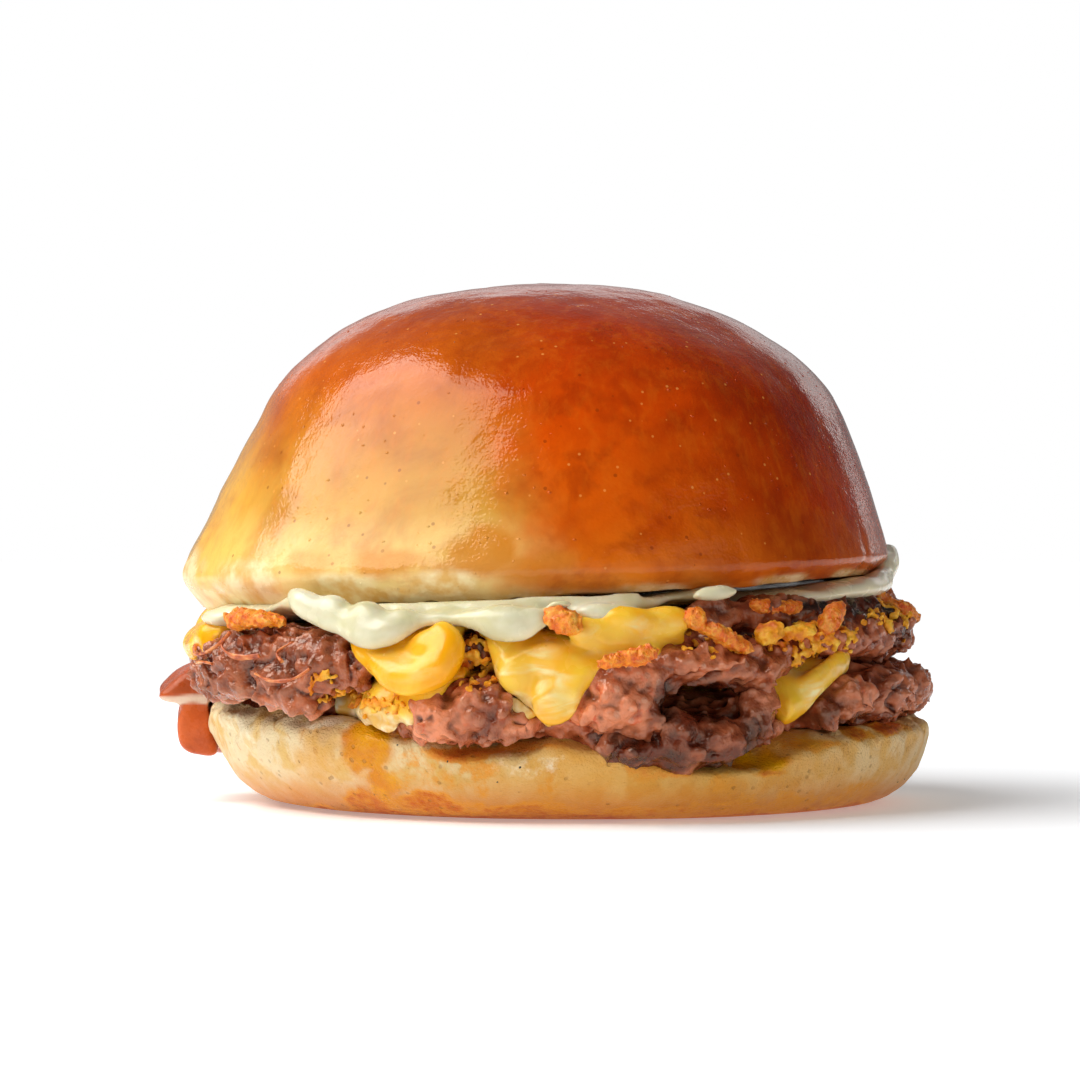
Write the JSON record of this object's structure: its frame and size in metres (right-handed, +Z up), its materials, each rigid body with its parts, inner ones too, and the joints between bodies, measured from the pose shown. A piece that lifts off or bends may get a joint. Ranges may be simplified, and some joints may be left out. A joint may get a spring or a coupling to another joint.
{
  "type": "hamburger",
  "caption": "Tall burger: domed glazed bun over sauce, crisp onion, cheese-draped smashed beef patties and a fold of bacon, on a flat bun base.",
  "frame": {"origin": "on the flat underside of the bottom bun, under the middle of the burger", "axes": "+Z up, +X to the right as the front shows it, -Y toward the front where the big cheese drape hangs"},
  "size_m": [0.1246, 0.1293, 0.0842],
  "materials": {
    "crust": "egg-glazed brioche crust, deep orange-brown above and pale at the lower left, glossy with tiny blisters",
    "crumb": "soft cream bread flank with toasted patches and a browned base",
    "meat": "coarse seared minced beef, greasy, dark crusts and pinker torn edges",
    "cheese": "melted yellow cheese, smooth and slightly glossy",
    "sauce": "thick off-white sauce with fine dark specks, glossy",
    "crisp_onion": "rough fried onion, golden to brown",
    "bacon": "fried bacon, reddish brown with a pale fat edge"
  },
  "bodies": {
    "root": {"bun_crown": "crust", "bun_heel": "crumb", "bacon": "bacon", "patty_upper": "meat", "patty_lower": "meat", "cheese_upper": "cheese", "cheese_lower": "cheese", "sauce": "sauce", "onion_01": "crisp_onion", "onion_02": "crisp_onion", "onion_03": "crisp_onion", "onion_04": "crisp_onion", "onion_05": "crisp_onion", "onion_06": "crisp_onion", "onion_07": "crisp_onion", "onion_08": "crisp_onion", "onion_09": "crisp_onion", "onion_10": "crisp_onion", "onion_11": "crisp_onion", "onion_12": "crisp_onion", "onion_13": "crisp_onion", "onion_14": "crisp_onion", "onion_15": "crisp_onion", "onion_16": "crisp_onion"}
  },
  "joints": []
}
